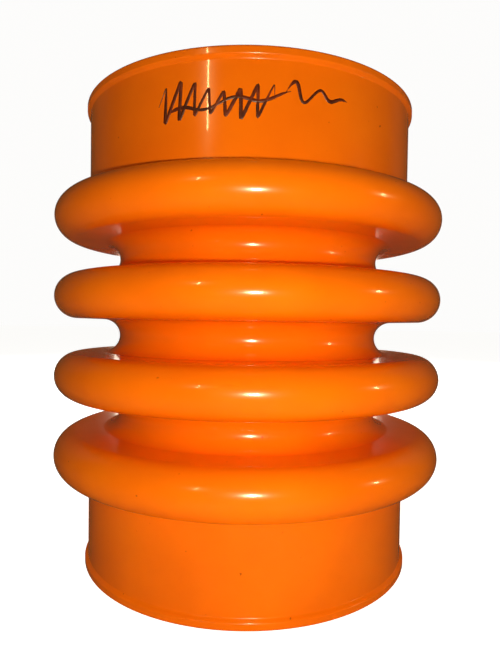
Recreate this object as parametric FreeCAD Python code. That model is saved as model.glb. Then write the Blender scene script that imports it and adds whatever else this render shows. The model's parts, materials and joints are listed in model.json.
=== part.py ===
import math
import os

import FreeCAD
import Part

# Moulded bellows for a tamping rammer, in millimetres.
# The axis is +Z and the lower rim stands on Z = 0, so the origin is the centre of the lower mouth.
# The bellows is one moulding. It is cut here into the zones that flex and the zones that don't.

# Driving sizes
CONVOLUTIONS = 4
CUFF_OUTER_R = 89.0
CREST_R = 107.0
ROOT_R = 73.0
PITCH = 41.8
END_LENGTH = 60.55
WALL = 4.0
CREST_ROUND = 11.8
WALL_SLOPE_DEG = 1.5
BEAD_R = 90.7
BEAD_HEIGHT = 5.4
BEAD_FLARE = 2.0

# Small roundings
RIM_ROUND = 1.3
MOUTH_CHAMFER = 0.6
NECK_FILLET = 2.2
NECK_INNER_ROUND = 2.6

# Clearance left between a rigid ring and the flexing wall beside it
FLEX_GAP = 0.3

# Derived sizes
SLOPE = math.radians(WALL_SLOPE_DEG)
CUFF_INNER_R = CUFF_OUTER_R - WALL
CREST_CENTRE_R = CREST_R - CREST_ROUND
HEIGHT = (CONVOLUTIONS - 1) * PITCH + 2 * END_LENGTH
AXIS_POINT = FreeCAD.Vector(0, 0, 0)
AXIS = FreeCAD.Vector(0, 0, 1)

# Radius of the root that is tangent to the sloping walls on both sides of it
ROOT_ROUND = (
    PITCH / 2 * math.cos(SLOPE)
    - CREST_ROUND
    - (CREST_CENTRE_R - ROOT_R) * math.sin(SLOPE)
) / (1 - math.sin(SLOPE))
ROOT_CENTRE_R = ROOT_R + ROOT_ROUND


def crest_z(number):
    """Height of a crest's mid-plane. Crest 1 is the top one."""
    return HEIGHT - END_LENGTH - (number - 1) * PITCH


def root_z(number):
    """Height of the root between crest number and the crest below it."""
    return crest_z(number) - PITCH / 2


def polar(centre, radius, angle_deg):
    """Point at a distance and an angle, measured from +X towards +Z, round a centre."""
    angle = math.radians(angle_deg)
    return centre[0] + radius * math.cos(angle), centre[1] + radius * math.sin(angle)


def point(position):
    return FreeCAD.Vector(position[0], 0, position[1])


def line(start, end):
    return Part.makeLine(point(start), point(end))


def polyline(*positions):
    return [line(start, end) for start, end in zip(positions, positions[1:])]


def arc(centre, radius, first_deg, last_deg):
    angles = (first_deg, (first_deg + last_deg) / 2, last_deg)
    return Part.Arc(*[point(polar(centre, radius, angle)) for angle in angles]).toShape()


def lathe(edges):
    """Turn a closed outline in the XZ plane into a solid of revolution."""
    face = Part.Face(Part.Wire(edges))
    return face.revolve(AXIS_POINT, AXIS, 360)


def round_ring(centre, outer, inner, middle_deg):
    """Ring with a C-shaped section that opens away from middle_deg."""
    reach = 90 - WALL_SLOPE_DEG
    first = middle_deg - reach
    last = middle_deg + reach
    return lathe([
        arc(centre, outer, first, last),
        line(polar(centre, outer, last), polar(centre, inner, last)),
        arc(centre, inner, last, first),
        line(polar(centre, inner, first), polar(centre, outer, first)),
    ])


def crest_ring(z):
    """Outward round of one convolution."""
    return round_ring((CREST_CENTRE_R, z), CREST_ROUND, CREST_ROUND - WALL, 0)


def root_ring(z):
    """Inward round between two convolutions."""
    return round_ring((ROOT_CENTRE_R, z), ROOT_ROUND + WALL, ROOT_ROUND, 180)


def side_wall(number, side):
    """Shallow cone from a crest to the root above it (side 1) or below it (side -1)."""
    crest = (CREST_CENTRE_R, crest_z(number))
    root = (ROOT_CENTRE_R, crest_z(number) + side * PITCH / 2)
    crest_deg = side * (90 - WALL_SLOPE_DEG)
    root_deg = -side * (90 + WALL_SLOPE_DEG)
    along = (math.cos(SLOPE) * FLEX_GAP, side * math.sin(SLOPE) * FLEX_GAP)
    outer_end = [polar(crest, radius, crest_deg) for radius in (CREST_ROUND, CREST_ROUND - WALL)]
    inner_end = [polar(root, radius, root_deg) for radius in (ROOT_ROUND + WALL, ROOT_ROUND)]
    corners = [(r - along[0], z + along[1]) for r, z in outer_end]
    corners += [(r + along[0], z - along[1]) for r, z in inner_end]
    return lathe(polyline(*corners, corners[0]))


def shoulder():
    """Upper end wall of the top convolution, turned up into the start of the cuff."""
    crest = (CREST_CENTRE_R, crest_z(1))
    edge_deg = 90 - WALL_SLOPE_DEG
    outside = polar(crest, CREST_ROUND, edge_deg)
    inside = polar(crest, CREST_ROUND - WALL, edge_deg)
    neck_r = CUFF_OUTER_R + NECK_FILLET
    turn_r = CUFF_INNER_R + NECK_INNER_ROUND
    neck_z = outside[1] + (outside[0] - neck_r) * math.tan(SLOPE)
    neck_z += NECK_FILLET / math.cos(SLOPE)
    turn_z = inside[1] + (inside[0] - turn_r) * math.tan(SLOPE)
    turn_z += NECK_INNER_ROUND / math.cos(SLOPE)
    neck = (neck_r, neck_z)
    turn = (turn_r, turn_z)
    foot_deg = 270 - WALL_SLOPE_DEG
    edges = polyline(inside, outside, polar(neck, NECK_FILLET, foot_deg))
    edges.append(arc(neck, NECK_FILLET, foot_deg, 180))
    edges += polyline(
        (CUFF_OUTER_R, neck_z),
        (CUFF_OUTER_R, shoulder_top()),
        (CUFF_INNER_R, shoulder_top()),
        (CUFF_INNER_R, turn_z),
    )
    edges.append(arc(turn, NECK_INNER_ROUND, 180, foot_deg))
    edges += polyline(polar(turn, NECK_INNER_ROUND, foot_deg), inside)
    return lathe(edges)


def shoulder_top():
    """Height where the plain cuff starts, just clear of the neck fillet."""
    return crest_z(1) + CREST_ROUND + NECK_FILLET + 1.0


def cuff():
    """Plain cylindrical sleeve that a hose clamp closes on."""
    low_z = shoulder_top()
    high_z = HEIGHT - BEAD_HEIGHT
    corners = [
        (CUFF_INNER_R, low_z),
        (CUFF_OUTER_R, low_z),
        (CUFF_OUTER_R, high_z),
        (CUFF_INNER_R, high_z),
    ]
    return lathe(polyline(*corners, corners[0]))


def bead():
    """Thickened rim, flared out from the cuff, that stops the clamp from slipping off."""
    low_z = HEIGHT - BEAD_HEIGHT
    rim = (BEAD_R - RIM_ROUND, HEIGHT - RIM_ROUND)
    edges = polyline(
        (CUFF_INNER_R, low_z),
        (CUFF_OUTER_R, low_z),
        (BEAD_R, low_z + BEAD_FLARE),
        polar(rim, RIM_ROUND, 0),
    )
    edges.append(arc(rim, RIM_ROUND, 0, 90))
    edges += polyline(
        polar(rim, RIM_ROUND, 90),
        (CUFF_INNER_R + MOUTH_CHAMFER, HEIGHT),
        (CUFF_INNER_R, HEIGHT - MOUTH_CHAMFER),
        (CUFF_INNER_R, low_z),
    )
    return lathe(edges)


def at_lower_end(shape):
    """The same piece for the lower end: the bellows is the same both ways up."""
    return shape.mirror(FreeCAD.Vector(0, 0, HEIGHT / 2), AXIS)


def end_pieces():
    pieces = {}
    for name, shape in (("bead", bead()), ("cuff", cuff()), ("shoulder", shoulder())):
        pieces["upper_" + name] = shape
        pieces["lower_" + name] = at_lower_end(shape)
    return pieces


def convolution_pieces():
    pieces = {}
    for number in range(1, CONVOLUTIONS + 1):
        pieces[f"crest_{number}"] = crest_ring(crest_z(number))
        if number > 1:
            pieces[f"wall_{number}_upper"] = side_wall(number, 1)
        if number < CONVOLUTIONS:
            pieces[f"wall_{number}_lower"] = side_wall(number, -1)
            pieces[f"root_{number}"] = root_ring(root_z(number))
    return pieces


os.makedirs("parts", exist_ok=True)
for node, solid in {**end_pieces(), **convolution_pieces()}.items():
    solid.exportStep(f"parts/{node}.step")
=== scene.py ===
import json
import math

import bpy
import numpy as np
from mathutils import Matrix, Vector


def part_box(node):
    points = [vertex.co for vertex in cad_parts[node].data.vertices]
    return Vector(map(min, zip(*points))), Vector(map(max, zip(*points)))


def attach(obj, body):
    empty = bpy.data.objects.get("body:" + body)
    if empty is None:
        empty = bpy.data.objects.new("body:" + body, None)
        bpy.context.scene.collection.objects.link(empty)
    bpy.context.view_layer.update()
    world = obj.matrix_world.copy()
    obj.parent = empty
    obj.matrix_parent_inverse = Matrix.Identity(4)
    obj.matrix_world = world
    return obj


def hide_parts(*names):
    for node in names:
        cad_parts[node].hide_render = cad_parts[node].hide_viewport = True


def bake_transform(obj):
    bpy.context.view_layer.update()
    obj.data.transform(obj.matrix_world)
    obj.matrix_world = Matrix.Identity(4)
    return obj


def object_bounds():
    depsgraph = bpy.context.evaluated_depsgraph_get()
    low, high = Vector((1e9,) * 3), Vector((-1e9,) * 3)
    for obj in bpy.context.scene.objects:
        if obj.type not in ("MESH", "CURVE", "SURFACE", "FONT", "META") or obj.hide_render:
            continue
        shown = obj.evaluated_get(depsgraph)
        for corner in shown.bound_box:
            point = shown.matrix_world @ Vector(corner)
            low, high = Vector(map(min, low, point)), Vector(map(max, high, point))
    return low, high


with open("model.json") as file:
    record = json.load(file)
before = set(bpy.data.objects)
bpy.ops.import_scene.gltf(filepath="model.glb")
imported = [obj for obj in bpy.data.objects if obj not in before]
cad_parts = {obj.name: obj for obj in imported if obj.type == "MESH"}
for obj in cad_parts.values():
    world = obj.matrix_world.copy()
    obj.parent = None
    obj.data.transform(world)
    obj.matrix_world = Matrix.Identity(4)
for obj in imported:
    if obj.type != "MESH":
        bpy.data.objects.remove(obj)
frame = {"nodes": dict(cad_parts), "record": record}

# Moulded bellows, in metres. The axis is +Z and the lower rim stands on the floor at Z = 0.
# Every CAD zone is replaced by smooth rings of the same section, so that the whole part reads as
# one moulding. Sections are measured as (radius, height).

CAD_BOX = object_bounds()
HEIGHT = CAD_BOX[1][2]

# How finely the rings are divided
SEGMENTS = 180
ARC_STEP_DEG = 4.0
WALL_STATIONS = 5
FLARE_STATIONS = 12

# Section details that the CAD rings don't give directly
WALL_SLOPE_DEG = 1.5
NECK_FILLET = 0.0022
NECK_INNER_ROUND = 0.0026
RIM_ROUND = 0.0013
MOUTH_ROUND = 0.0006
BEAD_FLARE = 0.0020

# A rigid ring keeps its round this far to each side of its middle, and the rest of the round goes
# into the separate flexing rings
RIGID_DEG = 45
# Share of a wall that goes into the ring on its crest's side; the rest goes into the ring on its
# root's side
CREST_SHARE = 2 / 3


def reach(node):
    """Smallest and largest radius, then lowest and highest point, of a CAD node."""
    points = np.array([vertex.co for vertex in frame["nodes"][node].data.vertices])
    radius = np.hypot(points[:, 0], points[:, 1])
    return radius.min(), radius.max(), points[:, 2].min(), points[:, 2].max()


def mount_radius(name):
    mounts = {mount["name"]: mount for mount in frame["record"]["mounts"]}
    return mounts[name]["dims"]["r_mm"] / 1000


def middle_z(node):
    low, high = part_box(node)
    return (low[2] + high[2]) / 2


SLOPE = math.radians(WALL_SLOPE_DEG)
CUFF_OUTER_R = mount_radius("upper_band_seat")
CUFF_INNER_R = mount_radius("upper_cuff_bore")
WALL = CUFF_OUTER_R - CUFF_INNER_R
_, CREST_R, crest_low, crest_high = reach("crest_1")
root_inner_r, _, root_low, root_high = reach("root_1")
CREST_ROUND = (crest_high - crest_low) / 2 / math.cos(SLOPE)
CREST_CENTRE_R = CREST_R - CREST_ROUND
ROOT_ROUND = (root_high - root_low) / 2 / math.cos(SLOPE) - WALL
ROOT_CENTRE_R = root_inner_r + WALL + ROOT_ROUND
_, BEAD_R, BEAD_LOW_Z, _ = reach("upper_bead")
SHOULDER_TOP = reach("upper_cuff")[2]


# --- Sections: strips of stations. A station is a radius, a height and the surface normal ---

def arc(centre, radius, first_deg, last_deg, facing=1):
    """Stations round a centre. The surface faces away from it (facing 1) or towards it (-1)."""
    count = max(3, round(abs(last_deg - first_deg) / ARC_STEP_DEG) + 1)
    angles = np.radians(np.linspace(first_deg, last_deg, count))
    away = np.column_stack([np.cos(angles), np.sin(angles)])
    return np.hstack([np.array(centre) + radius * away, facing * away])


def line(start, end, normal, count=2):
    share = np.linspace(0, 1, count)[:, None]
    points = np.array(start) * (1 - share) + np.array(end) * share
    return np.hstack([points, np.tile(normal, (count, 1))])


def smooth(*strips):
    """One strip from several that run on from each other without a corner."""
    return np.vstack([strips[0]] + [strip[1:] for strip in strips[1:]])


def inner_side(strip):
    """The inside of the wall behind a strip of its outside."""
    shifted = strip[:, :2] - WALL * strip[:, 2:]
    return np.hstack([shifted, -strip[:, 2:]])


def cap(start, end, facing):
    """Flat strip across the wall, from one station to another."""
    return line(start[:2], end[:2], facing / np.linalg.norm(facing))


def closed(outer, inner):
    """The four strips round a ring's section, from its outside and its inside."""
    inner = inner[::-1]
    ahead = outer[-1, :2] - outer[-2, :2]
    behind = outer[0, :2] - outer[1, :2]
    return [outer, cap(outer[-1], inner[0], ahead), inner, cap(inner[-1], outer[0], behind)]


def mirrored(strips):
    """The same section for the lower end."""
    return [strip[::-1] * (1, -1, 1, -1) + (0, HEIGHT, 0, 0) for strip in reversed(strips)]


# --- Rings ---

def ring(name, strips):
    """Closed ring turned round the axis, with exact normals so that neighbours meet seamlessly."""
    outline = np.vstack([strip[:-1] for strip in strips])
    count = len(outline)
    turned = np.roll(outline, -1, axis=0)
    area = np.sum(outline[:, 0] * turned[:, 1] - turned[:, 0] * outline[:, 1])
    angles = np.arange(SEGMENTS) * 2 * math.pi / SEGMENTS
    across = np.column_stack([np.cos(angles), np.sin(angles)])
    vertices = np.empty((count, SEGMENTS, 3))
    vertices[:, :, :2] = outline[:, None, :1] * across
    vertices[:, :, 2] = outline[:, None, 1]

    first = np.arange(count)[:, None]
    second = (first + 1) % count
    here = np.arange(SEGMENTS)[None, :]
    there = (here + 1) % SEGMENTS
    corners = [(first, here), (first, there), (second, there), (second, here)]
    edge_normals = np.vstack([np.stack([strip[:-1, 2:], strip[1:, 2:]], 1) for strip in strips])
    if area < 0:
        corners.reverse()
    faces = np.stack([station * SEGMENTS + turn for station, turn in corners], -1)
    normals = np.empty((count, SEGMENTS, 4, 3))
    for corner, (station, turn) in enumerate(corners):
        flat = edge_normals[:, 0 if station is first else 1]
        direction = across[turn[0]]
        normals[:, :, corner, :2] = flat[:, None, :1] * direction
        normals[:, :, corner, 2] = flat[:, None, 1]

    mesh = bpy.data.meshes.new(name)
    mesh.from_pydata(vertices.reshape(-1, 3).tolist(), [], faces.reshape(-1, 4).tolist())
    mesh.shade_smooth()
    mesh.normals_split_custom_set(normals.reshape(-1, 3).tolist())
    piece = bpy.data.objects.new(name, mesh)
    bpy.context.scene.collection.objects.link(piece)
    return piece


def stand_for(piece, material, node):
    """The piece is shown in place of a CAD node, in the moulding's finish."""
    piece.data.materials.append(material)
    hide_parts(node)


def body_of(node):
    bodies = frame["record"]["behaviour"]["bodies"]
    return next(body for body, nodes in bodies.items() if node in nodes)


def rigid_ring(node, strips, material):
    piece = ring(node + "_skin", strips)
    stand_for(piece, material, node)
    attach(piece, body_of(node))


# --- Rigid zones ---

def crest_core(number, low_deg, high_deg):
    centre = (CREST_CENTRE_R, middle_z(f"crest_{number}"))
    outer = arc(centre, CREST_ROUND, low_deg, high_deg)
    return closed(outer, inner_side(outer))


def root_core(number):
    centre = (ROOT_CENTRE_R, middle_z(f"root_{number}"))
    outer = arc(centre, ROOT_ROUND, 180 - RIGID_DEG, 180 + RIGID_DEG, -1)
    return closed(outer, inner_side(outer))


def shoulder():
    """End wall of the top convolution, turned up into the cuff by a small fillet."""
    edge_deg = 90 - WALL_SLOPE_DEG
    foot_deg = 270 - WALL_SLOPE_DEG
    edge = arc((CREST_CENTRE_R, middle_z("crest_1")), CREST_ROUND, edge_deg, edge_deg)[0]
    edge_inside = inner_side(edge[None, :])[0]

    def wall_and_turn(start, turn_r, radius, cuff_r, facing):
        turn_z = start[1] + (start[0] - turn_r) * math.tan(SLOPE) + radius / math.cos(SLOPE)
        turn = arc((turn_r, turn_z), radius, foot_deg, 180, facing)
        wall = line(start[:2], turn[0, :2], start[2:], WALL_STATIONS)
        sleeve = line((cuff_r, turn_z), (cuff_r, SHOULDER_TOP), turn[-1, 2:])
        return smooth(wall, turn, sleeve)

    neck_r = CUFF_OUTER_R + NECK_FILLET
    inner_turn_r = CUFF_INNER_R + NECK_INNER_ROUND
    outer = wall_and_turn(edge, neck_r, NECK_FILLET, CUFF_OUTER_R, -1)
    inner = wall_and_turn(edge_inside, inner_turn_r, NECK_INNER_ROUND, CUFF_INNER_R, 1)
    return closed(outer, inner)


def cuff():
    outer = line((CUFF_OUTER_R, SHOULDER_TOP), (CUFF_OUTER_R, BEAD_LOW_Z), (1, 0))
    return closed(outer, inner_side(outer))


def ease(share):
    """S-curve from 0 to 1."""
    return share * share * (3 - 2 * share)


def ease_slope(share):
    return 6 * share * (1 - share)


def bead():
    """Thickened rim, flared out from the cuff in a smooth S."""
    share = np.linspace(0, 1, FLARE_STATIONS)
    rise = BEAD_R - CUFF_OUTER_R
    lean = rise / BEAD_FLARE * ease_slope(share)
    facing = np.column_stack([np.ones_like(lean), -lean]) / np.hypot(1, lean)[:, None]
    radii = CUFF_OUTER_R + rise * ease(share)
    flare = np.column_stack([radii, BEAD_LOW_Z + BEAD_FLARE * share, facing])
    band = line(flare[-1, :2], (BEAD_R, HEIGHT - RIM_ROUND), (1, 0))
    rim = arc((BEAD_R - RIM_ROUND, HEIGHT - RIM_ROUND), RIM_ROUND, 0, 90)
    mouth_centre = (CUFF_INNER_R + MOUTH_ROUND, HEIGHT - MOUTH_ROUND)
    mouth = arc(mouth_centre, MOUTH_ROUND, 90, 180)
    top = line(rim[-1, :2], mouth[0, :2], (0, 1))
    bore = line(mouth[-1, :2], (CUFF_INNER_R, BEAD_LOW_Z), (-1, 0))
    around = smooth(flare, band, rim, top, mouth, bore)
    return [around, cap(around[-1], around[0], np.array([0.0, -1.0]))]


# --- Flexing zones ---

def crest_side(number, side):
    """Outside of the flexing zone next to a crest: the end of its round and part of the wall."""
    z = middle_z(f"crest_{number}")
    centre = (CREST_CENTRE_R, z)
    turn = arc(centre, CREST_ROUND, side * RIGID_DEG, side * (90 - WALL_SLOPE_DEG))
    start, end = wall_ends(number, side)
    split = start * (1 - CREST_SHARE) + end * CREST_SHARE
    return smooth(turn, line(start, split, turn[-1, 2:], WALL_STATIONS))


def root_side(number, side):
    """Outside of the flexing zone next to a root: the rest of the wall and part of its round."""
    start, end = wall_ends(number, side)
    split = start * (1 - CREST_SHARE) + end * CREST_SHARE
    centre = root_centre(number, side)
    first_deg = -side * (90 + WALL_SLOPE_DEG)
    turn = arc(centre, ROOT_ROUND, first_deg, -side * (180 - RIGID_DEG), -1)
    return smooth(line(split, end, turn[0, 2:], WALL_STATIONS), turn)


def root_beside(number, side):
    """Number of the root above a crest (side 1) or below it (side -1)."""
    return number - 1 if side > 0 else number


def root_centre(number, side):
    return ROOT_CENTRE_R, middle_z(f"root_{root_beside(number, side)}")


def wall_ends(number, side):
    """Where a wall's outside leaves its crest's round and where it meets its root's round."""
    crest_deg = side * (90 - WALL_SLOPE_DEG)
    crest_centre = (CREST_CENTRE_R, middle_z(f"crest_{number}"))
    start = arc(crest_centre, CREST_ROUND, crest_deg, crest_deg)[0, :2]
    root_deg = -side * (90 + WALL_SLOPE_DEG)
    end = arc(root_centre(number, side), ROOT_ROUND, root_deg, root_deg)[0, :2]
    return start, end


def flexing_ring(name, outer, material, node):
    """Ring for part of a flexing zone, shown in place of its CAD node and left attached to no body.
    """
    piece = ring(name, closed(outer, inner_side(outer)))
    stand_for(piece, material, node)
    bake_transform(piece)


def flexing_wall(number, side, material):
    """Both halves of one wall. side is 1 above its crest and -1 below it."""
    node = f"wall_{number}_" + ("upper" if side > 0 else "lower")
    outer = crest_side(number, side)
    flexing_ring(node + "_crest_side", outer, material, node)
    outer = root_side(number, side)
    flexing_ring(node + "_root_side", outer, material, node)


def build_bellows(material):
    crests = sum(name.startswith("crest_") for name in frame["nodes"])
    for part, strips in (("bead", bead()), ("cuff", cuff()), ("shoulder", shoulder())):
        rigid_ring("upper_" + part, strips, material)
        rigid_ring("lower_" + part, mirrored(strips), material)
    round_end = 90 - WALL_SLOPE_DEG
    for number in range(1, crests + 1):
        low_deg = -round_end if number == crests else -RIGID_DEG
        high_deg = round_end if number == 1 else RIGID_DEG
        rigid_ring(f"crest_{number}", crest_core(number, low_deg, high_deg), material)
        if number > 1:
            flexing_wall(number, 1, material)
        if number < crests:
            flexing_wall(number, -1, material)
            rigid_ring(f"root_{number}", root_core(number), material)


# --- Marker scribble ---

STROKE_WIDTH = 0.0015
STROKE_RISE = 0.00006
STROKE_SINK = 0.0002
# Ends thin down to this share of the width over one part in TAPER_PARTS of the stroke
THINNEST = 0.25
TAPER_PARTS = 14
SCRIBBLE_ABOVE_MIDDLE = 0.003
SCRIBBLE_MIDDLE_Z = (SHOULDER_TOP + BEAD_LOW_Z) / 2 + SCRIBBLE_ABOVE_MIDDLE
SCRIBBLE_SLANT = 0.25

HATCH_START = -0.041
HATCH_LENGTH = 0.051
HATCH_HEIGHT = 0.0078
HATCH_TEETH = 7.5
# Just under 1, so that the teeth are slightly rounded at their tips
TOOTH_SHARPNESS = 0.985
CROSSING_START = -0.036
CROSSING_LENGTH = 0.052
TAIL_START = 0.014
TAIL_LENGTH = 0.029


def slanted(across, up):
    """Points on the cuff from distances across and up, leaning to the right as handwriting does."""
    return np.column_stack([across + SCRIBBLE_SLANT * up, up])


def hatching():
    """Back-and-forth strokes of uneven height, as when a pen is tried out."""
    run = np.linspace(0, 1, 260)
    teeth = np.arcsin(TOOTH_SHARPNESS * np.sin(2 * math.pi * HATCH_TEETH * run)) / (math.pi / 2)
    height = HATCH_HEIGHT * (1 + 0.22 * np.sin(9 * run) - 0.25 * run)
    across = HATCH_START + HATCH_LENGTH * run
    return slanted(across, 0.0012 * np.sin(7 * run) + height * teeth)


def crossing_wave():
    """Shallow wave drawn across the hatching."""
    run = np.linspace(0, 1, 80)
    across = CROSSING_START + CROSSING_LENGTH * run
    return slanted(across, -0.004 + 0.007 * run + 0.0016 * np.sin(14 * run))


def tail():
    """Wave that sweeps off to the right and dies away."""
    run = np.linspace(0, 1, 110)
    across = TAIL_START + TAIL_LENGTH * run
    return slanted(across, 0.0042 + 0.0052 * (1 - run) * np.sin(15 * run))


def stroke_mesh(points, vertices, faces):
    """Adds a thin closed ribbon along the points, wrapped on the front of the upper cuff."""
    share = np.linspace(0, 1, len(points))
    ahead = np.gradient(points, axis=0)
    ahead /= np.linalg.norm(ahead, axis=1)[:, None]
    side = np.column_stack([-ahead[:, 1], ahead[:, 0]])
    taper = np.clip(np.minimum(share, 1 - share) * TAPER_PARTS, THINNEST, 1)
    half = STROKE_WIDTH / 2 * taper * (1 + 0.18 * np.sin(share * 11))
    section = [(-1, -STROKE_SINK), (-0.9, STROKE_RISE * 0.5), (0, STROKE_RISE)]
    section += [(0.9, STROKE_RISE * 0.5), (1, -STROKE_SINK)]
    size = len(section)
    base = len(vertices)
    for place, sideways, width in zip(points, side, half):
        for offset, rise in section:
            across, up = place + sideways * width * offset
            radius = CUFF_OUTER_R + rise
            turn = across / CUFF_OUTER_R
            vertices.append((
                radius * math.sin(turn),
                -radius * math.cos(turn),
                SCRIBBLE_MIDDLE_Z + up,
            ))
    for step in range(len(points) - 1):
        near = base + step * size
        far = near + size
        for corner in range(size):
            follow = (corner + 1) % size
            faces.append((near + corner, far + corner, far + follow, near + follow))
    faces.append(tuple(base + corner for corner in range(size)))
    last = base + (len(points) - 1) * size
    faces.append(tuple(last + corner for corner in reversed(range(size))))


def build_scribble(material):
    """Meaningless marker strokes on the front of the upper cuff."""
    vertices = []
    faces = []
    for points in (hatching(), crossing_wave(), tail()):
        stroke_mesh(points, vertices, faces)
    mesh = bpy.data.meshes.new("marker_scribble")
    mesh.from_pydata(vertices, [], faces)
    mesh.shade_smooth()
    piece = bpy.data.objects.new("marker_scribble", mesh)
    bpy.context.scene.collection.objects.link(piece)
    piece.data.materials.append(material)
    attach(piece, body_of("upper_cuff"))


# --- Materials: noise scales are per metre, bump distances are in metres ---

# The middle of a noise's range, where most of its values lie
NOISE_LOW = 0.3
NOISE_HIGH = 0.7

PIGMENT_CLOUDS = 22
DUST_SPECKS = 420
SHEEN_PATCHES = 60
FLOW_WAVES = 34
FLOW_WAVE_DEPTH = 0.00012
ORANGE_PEEL = 700
ORANGE_PEEL_DEPTH = 0.000006

INK_THINNING = 170
INK_PATCHES = 300

FLOOR_CLOUDS = 3
# Emission of the floor where it is looked at directly
FLOOR_LIFT = 0.93

# Sockets of a Mix node that mixes colours, which share their names with its other sockets
MIX_FIRST = 6
MIX_SECOND = 7
MIX_RESULT = 2


def new_material(name):
    material = bpy.data.materials.new(name)
    material.use_nodes = True
    return material, material.node_tree.nodes, material.node_tree.links


def noise(nodes, links, scale, detail):
    """Noise that sits still on the object."""
    coordinates = nodes.new("ShaderNodeTexCoord")
    texture = nodes.new("ShaderNodeTexNoise")
    texture.inputs["Scale"].default_value = scale
    texture.inputs["Detail"].default_value = detail
    links.new(coordinates.outputs["Object"], texture.inputs["Vector"])
    return texture.outputs["Fac"]


def ramp(nodes, links, value, *stops):
    """Colour ramp with a (position, colour) pair for each stop."""
    node = nodes.new("ShaderNodeValToRGB")
    elements = node.color_ramp.elements
    for element, (position, colour) in zip(elements, stops):
        element.position = position
        element.color = (*colour, 1)
    for position, colour in stops[len(elements):]:
        elements.new(position).color = (*colour, 1)
    links.new(value, node.inputs["Fac"])
    return node.outputs["Color"]


def multiply(nodes, links, first, second):
    node = nodes.new("ShaderNodeMix")
    node.data_type = "RGBA"
    node.blend_type = "MULTIPLY"
    node.inputs["Factor"].default_value = 1
    links.new(first, node.inputs[MIX_FIRST])
    links.new(second, node.inputs[MIX_SECOND])
    return node.outputs[MIX_RESULT]


def spread(nodes, links, value, low, high):
    """The middle of a noise's range, spread from low to high."""
    node = nodes.new("ShaderNodeMapRange")
    node.inputs["From Min"].default_value = NOISE_LOW
    node.inputs["From Max"].default_value = NOISE_HIGH
    node.inputs["To Min"].default_value = low
    node.inputs["To Max"].default_value = high
    links.new(value, node.inputs["Value"])
    return node.outputs["Result"]


def bump(nodes, links, height, distance, under=None):
    """Bump of a height, laid over another bump if one is given."""
    node = nodes.new("ShaderNodeBump")
    node.inputs["Distance"].default_value = distance
    node.inputs["Strength"].default_value = 1.0
    links.new(height, node.inputs["Height"])
    if under is not None:
        links.new(under, node.inputs["Normal"])
    return node.outputs["Normal"]


def orange_moulding():
    """Glossy cast polyurethane: cloudy pigment, faint flow waves, orange peel and dust."""
    material, nodes, links = new_material("orange_moulding")
    shader = nodes["Principled BSDF"]
    pigment = ramp(
        nodes, links, noise(nodes, links, PIGMENT_CLOUDS, 4),
        (0.30, (0.86, 0.142, 0.0012)),
        (0.55, (0.92, 0.160, 0.0016)),
        (0.75, (0.95, 0.176, 0.0020)),
    )
    dust = ramp(
        nodes, links, noise(nodes, links, DUST_SPECKS, 1),
        (0.175, (0.55, 0.42, 0.38)),
        (0.205, (1.0, 1.0, 1.0)),
    )
    links.new(multiply(nodes, links, pigment, dust), shader.inputs["Base Color"])
    roughness = spread(nodes, links, noise(nodes, links, SHEEN_PATCHES, 5), 0.17, 0.23)
    links.new(roughness, shader.inputs["Roughness"])
    waves = bump(nodes, links, noise(nodes, links, FLOW_WAVES, 2), FLOW_WAVE_DEPTH)
    peel_height = noise(nodes, links, ORANGE_PEEL, 2)
    peel = bump(nodes, links, peel_height, ORANGE_PEEL_DEPTH, under=waves)
    links.new(peel, shader.inputs["Normal"])
    shader.inputs["IOR"].default_value = 1.5
    shader.inputs["Specular IOR Level"].default_value = 0.3
    shader.inputs["Coat Weight"].default_value = 0.35
    shader.inputs["Coat Roughness"].default_value = 0.04
    return material


def marker_ink():
    """Dried marker ink, thicker in some places and worn thin in others."""
    material, nodes, links = new_material("marker_ink")
    shader = nodes["Principled BSDF"]
    colour = ramp(
        nodes, links, noise(nodes, links, INK_THINNING, 4),
        (0.35, (0.055, 0.006, 0.002)),
        (0.55, (0.12, 0.012, 0.003)),
        (0.72, (0.24, 0.028, 0.003)),
    )
    links.new(colour, shader.inputs["Base Color"])
    roughness = spread(nodes, links, noise(nodes, links, INK_PATCHES, 3), 0.32, 0.5)
    links.new(roughness, shader.inputs["Roughness"])
    return material


def pale_floor():
    """White floor. Its brightness is lifted only where it is looked at directly."""
    material, nodes, links = new_material("pale_floor")
    shader = nodes["Principled BSDF"]
    tone = ramp(
        nodes, links, noise(nodes, links, FLOOR_CLOUDS, 2),
        (0.3, (0.80, 0.795, 0.785)),
        (0.7, (0.83, 0.825, 0.815)),
    )
    links.new(tone, shader.inputs["Base Color"])
    shader.inputs["Roughness"].default_value = 0.7
    shader.inputs["Specular IOR Level"].default_value = 0.1
    lift = nodes.new("ShaderNodeMath")
    lift.operation = "MULTIPLY"
    lift.inputs[1].default_value = FLOOR_LIFT
    path = nodes.new("ShaderNodeLightPath")
    links.new(path.outputs["Is Camera Ray"], lift.inputs[0])
    shader.inputs["Emission Color"].default_value = (1.0, 1.0, 1.0, 1)
    links.new(lift.outputs["Value"], shader.inputs["Emission Strength"])
    return material


# --- Studio ---

FLOOR_HALF_SIDE = 8.0
# The floor lies just under the rim, so that the two don't share a plane
FLOOR_DROP = 0.0002

ROOM_SEEN = (0.98, 0.975, 0.965, 1)
ROOM_LIGHT = (0.055, 0.046, 0.022, 1)

CAMERA_DISTANCE = 0.3091
CAMERA_RISE = 0.00917
CAMERA_TILT_DEG = -1.44
CAMERA_TURN_DEG = 0.32
CAMERA_ROLL_DEG = 0.8
CAMERA_LENS_MM = 37.65
SENSOR_WIDTH_MM = 36
CLIP_START = 0.01

# The key stands this far right of the camera, behind it and below the part's middle
KEY_ASIDE = 0.018
KEY_BEHIND = 0.012
KEY_BELOW = 0.004
KEY_SIZE = (0.020, 0.013)
KEY_WATTS = 0.62

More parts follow.
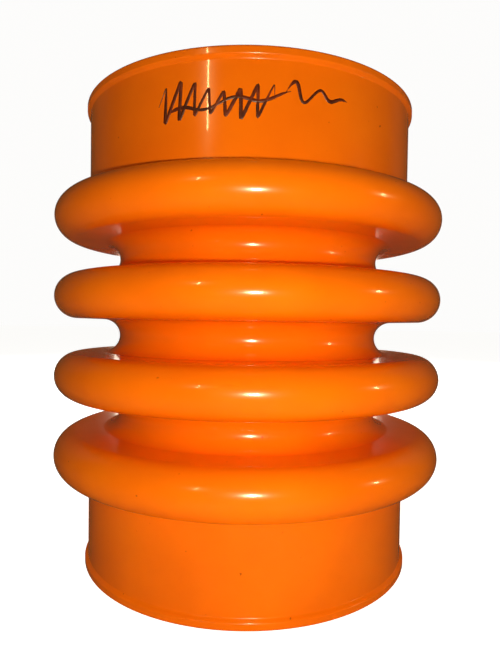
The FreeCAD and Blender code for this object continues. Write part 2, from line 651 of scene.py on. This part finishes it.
# Large panels: one that gloss reflects, and fills that it doesn't
PANEL_SIZE = (0.9, 0.9)
PANEL_WATTS = 6
REAR_FILL_WATTS = 7
SIDE_FILL_WATTS = 5

# Small far lamps for the glints beside the key's
LEFT_LAMP_SIZE = (0.022, 0.20)
LEFT_LAMP_WATTS = 0.95
RIGHT_LAMP_SIZE = (0.05, 0.03)
RIGHT_LAMP_WATTS = 0.5
RIGHT_LAMP_HEIGHTS = (0.30, 0.36)

WHITE = (1.0, 1.0, 1.0)
KEY_COLOUR = (1.0, 0.97, 0.60)
PANEL_COLOUR = (1.0, 0.88, 0.68)
LAMP_COLOUR = (1.0, 0.8, 0.35)


def build_floor():
    side = FLOOR_HALF_SIDE
    mesh = bpy.data.meshes.new("floor")
    corners = [(-side, -side), (side, -side), (side, side), (-side, side)]
    mesh.from_pydata([(x, y, -FLOOR_DROP) for x, y in corners], [], [(0, 1, 2, 3)])
    floor = bpy.data.objects.new("floor", mesh)
    bpy.context.scene.collection.objects.link(floor)
    mesh.materials.append(pale_floor())
    floor.visible_glossy = False


def build_world():
    """White room to look at, which lights the object more dimly and warmly than it looks."""
    world = bpy.data.worlds.new("studio")
    world.use_nodes = True
    nodes, links = world.node_tree.nodes, world.node_tree.links
    seen = nodes["Background"]
    seen.inputs["Color"].default_value = ROOM_SEEN
    lit = nodes.new("ShaderNodeBackground")
    lit.inputs["Color"].default_value = ROOM_LIGHT
    path = nodes.new("ShaderNodeLightPath")
    choose = nodes.new("ShaderNodeMixShader")
    links.new(path.outputs["Is Camera Ray"], choose.inputs["Fac"])
    links.new(lit.outputs["Background"], choose.inputs[1])
    links.new(seen.outputs["Background"], choose.inputs[2])
    links.new(choose.outputs["Shader"], nodes["World Output"].inputs["Surface"])
    bpy.context.scene.world = world


def area_light(name, place, size, watts, colour=WHITE, shape="RECTANGLE", in_gloss=True):
    """Area light aimed at the middle of the part. in_gloss says whether gloss reflects it."""
    light = bpy.data.lights.new(name, "AREA")
    light.shape = shape
    light.size, light.size_y = size
    light.energy = watts
    light.color = colour
    lamp = bpy.data.objects.new(name, light)
    lamp.location = place
    lamp.visible_camera = False
    lamp.visible_glossy = in_gloss
    aim = Vector((0, 0, HEIGHT / 2)) - Vector(place)
    lamp.rotation_euler = aim.to_track_quat("-Z", "Y").to_euler()
    bpy.context.scene.collection.objects.link(lamp)


def build_camera():
    """Level, close view of the front."""
    turn = math.radians(CAMERA_TURN_DEG)
    tilt = math.radians(CAMERA_TILT_DEG)
    roll = math.radians(CAMERA_ROLL_DEG)
    flat = math.cos(tilt)
    ahead = Vector((math.sin(turn) * flat, math.cos(turn) * flat, math.sin(tilt)))
    level = Vector((math.cos(turn), -math.sin(turn), 0))
    above = level.cross(ahead)
    right = level * math.cos(roll) + above * math.sin(roll)
    up = above * math.cos(roll) - level * math.sin(roll)
    data = bpy.data.cameras.new("camera")
    data.sensor_fit = "HORIZONTAL"
    data.sensor_width = SENSOR_WIDTH_MM
    data.lens = CAMERA_LENS_MM
    data.clip_start = CLIP_START
    camera = bpy.data.objects.new("camera", data)
    place = Matrix.Translation((0, -CAMERA_DISTANCE, HEIGHT / 2 + CAMERA_RISE))
    camera.matrix_world = place @ Matrix((right, up, -ahead)).transposed().to_4x4()
    bpy.context.scene.collection.objects.link(camera)
    bpy.context.scene.camera = camera


def build_lights():
    """Small key beside the lens, soft light from behind and the sides, and lamps for glints."""
    key_place = (KEY_ASIDE, -CAMERA_DISTANCE - KEY_BEHIND, HEIGHT / 2 - KEY_BELOW)
    area_light("key", key_place, KEY_SIZE, KEY_WATTS, KEY_COLOUR, "ELLIPSE")
    area_light("back_panel", (0, 1.4, 0.45), PANEL_SIZE, PANEL_WATTS, PANEL_COLOUR)
    area_light("rear_fill", (0, 1.3, 0.35), PANEL_SIZE, REAR_FILL_WATTS, in_gloss=False)
    for side in (-1, 1):
        place = (side * 1.1, 0.85, 0.65)
        area_light("side_fill", place, PANEL_SIZE, SIDE_FILL_WATTS, in_gloss=False)
    area_light("left_lamp", (-0.55, -1.10, 0.73), LEFT_LAMP_SIZE, LEFT_LAMP_WATTS, LAMP_COLOUR)
    for height in RIGHT_LAMP_HEIGHTS:
        place = (1.1, -0.35, height)
        area_light("right_lamp", place, RIGHT_LAMP_SIZE, RIGHT_LAMP_WATTS, LAMP_COLOUR)


build_camera()
build_floor()
build_world()
build_lights()
build_bellows(orange_moulding())
build_scribble(marker_ink())
bpy.context.scene.view_settings.view_transform = "Standard"
